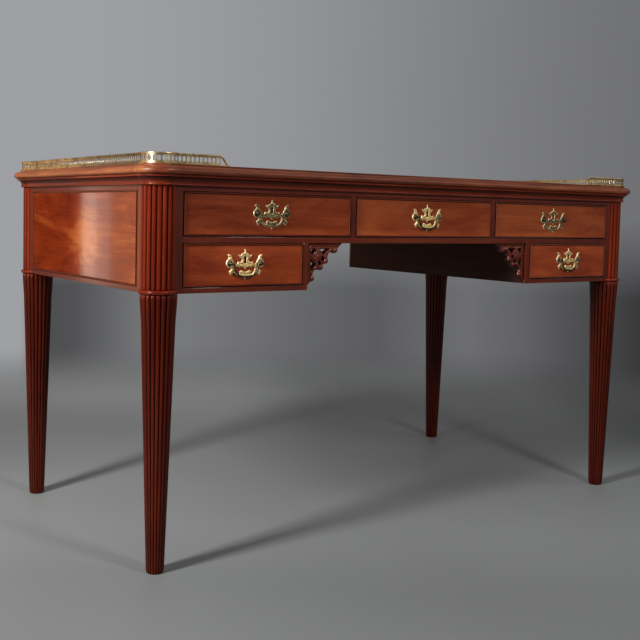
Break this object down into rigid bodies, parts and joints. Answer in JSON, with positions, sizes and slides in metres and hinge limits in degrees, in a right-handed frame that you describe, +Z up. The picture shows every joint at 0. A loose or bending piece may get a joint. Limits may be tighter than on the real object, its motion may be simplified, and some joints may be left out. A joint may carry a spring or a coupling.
{
  "type": "writing table",
  "caption": "Pedestal writing table with two tiers of beaded drawers round a kneehole, reeded tapering legs, carved brackets and a low pierced brass gallery.",
  "frame": {"origin": "centre of the four legs, on the floor", "axes": "+Z up, +X along the length, -Y towards the person who sits at the table"},
  "size_m": [1.388, 0.748, 0.7955],
  "materials": {
    "mahogany": "french polished",
    "veneer": "french polished",
    "secondary_wood": "bare",
    "writing_leather": "tooled border, satin",
    "brass": "polished",
    "screw_steel": "bare"
  },
  "bodies": {
    "carcase": {"leg_front_left": "mahogany", "leg_front_right": "mahogany", "leg_back_left": "mahogany", "leg_back_right": "mahogany", "top_board": "secondary_wood", "top_edge": "mahogany", "cornice": "mahogany", "writing_leather": "writing_leather", "gallery_foot": "brass", "gallery_pales": "brass", "gallery_cap": "brass", "end_frame_left": "mahogany", "end_frame_right": "mahogany", "end_panels": "veneer", "end_beads": "mahogany", "back_frame": "mahogany", "back_panels": "veneer", "back_beads": "mahogany", "front_frame": "mahogany", "partitions": "mahogany", "pedestal_boards": "mahogany", "dust_board": "secondary_wood", "pedestal_floors": "secondary_wood", "drawer_guides": "secondary_wood", "top_screws": "screw_steel", "bracket_left": "mahogany", "bracket_right": "mahogany"},
    "upper_left_drawer": {"upper_left_front": "veneer", "upper_left_bead": "mahogany", "upper_left_box": "secondary_wood", "upper_left_bottom": "secondary_wood", "upper_left_plate": "brass", "upper_left_lock": "brass"},
    "upper_middle_drawer": {"upper_middle_front": "veneer", "upper_middle_bead": "mahogany", "upper_middle_box": "secondary_wood", "upper_middle_bottom": "secondary_wood", "upper_middle_plate": "brass", "upper_middle_lock": "brass"},
    "upper_right_drawer": {"upper_right_front": "veneer", "upper_right_bead": "mahogany", "upper_right_box": "secondary_wood", "upper_right_bottom": "secondary_wood", "upper_right_plate": "brass", "upper_right_lock": "brass"},
    "lower_left_drawer": {"lower_left_front": "veneer", "lower_left_bead": "mahogany", "lower_left_box": "secondary_wood", "lower_left_bottom": "secondary_wood", "lower_left_plate": "brass", "lower_left_lock": "brass"},
    "lower_right_drawer": {"lower_right_front": "veneer", "lower_right_bead": "mahogany", "lower_right_box": "secondary_wood", "lower_right_bottom": "secondary_wood", "lower_right_plate": "brass", "lower_right_lock": "brass"},
    "upper_middle_handle": {"upper_middle_bail": "brass"},
    "lower_left_handle": {"lower_left_bail": "brass"},
    "lower_right_handle": {"lower_right_bail": "brass"}
  },
  "joints": [
    {"name": "upper_left_slide", "type": "slide", "parent": "carcase", "child": "upper_left_drawer", "axis": [0, -1, 0], "range_m": [0, 0.42]},
    {"name": "upper_middle_slide", "type": "slide", "parent": "carcase", "child": "upper_middle_drawer", "axis": [0, -1, 0], "range_m": [0, 0.42]},
    {"name": "upper_right_slide", "type": "slide", "parent": "carcase", "child": "upper_right_drawer", "axis": [0, -1, 0], "range_m": [0, 0.42]},
    {"name": "lower_left_slide", "type": "slide", "parent": "carcase", "child": "lower_left_drawer", "axis": [0, -1, 0], "range_m": [0, 0.42]},
    {"name": "lower_right_slide", "type": "slide", "parent": "carcase", "child": "lower_right_drawer", "axis": [0, -1, 0], "range_m": [0, 0.42]},
    {"name": "upper_middle_swing", "type": "hinge", "parent": "upper_middle_drawer", "child": "upper_middle_handle", "pos_m": [0, -0.3516, 0.6865], "axis": [-1, 0, 0], "range_deg": [0, 100]},
    {"name": "lower_left_swing", "type": "hinge", "parent": "lower_left_drawer", "child": "lower_left_handle", "pos_m": [-0.466, -0.3516, 0.5895], "axis": [-1, 0, 0], "range_deg": [0, 100]},
    {"name": "lower_right_swing", "type": "hinge", "parent": "lower_right_drawer", "child": "lower_right_handle", "pos_m": [0.466, -0.3516, 0.5895], "axis": [-1, 0, 0], "range_deg": [0, 100]}
  ]
}
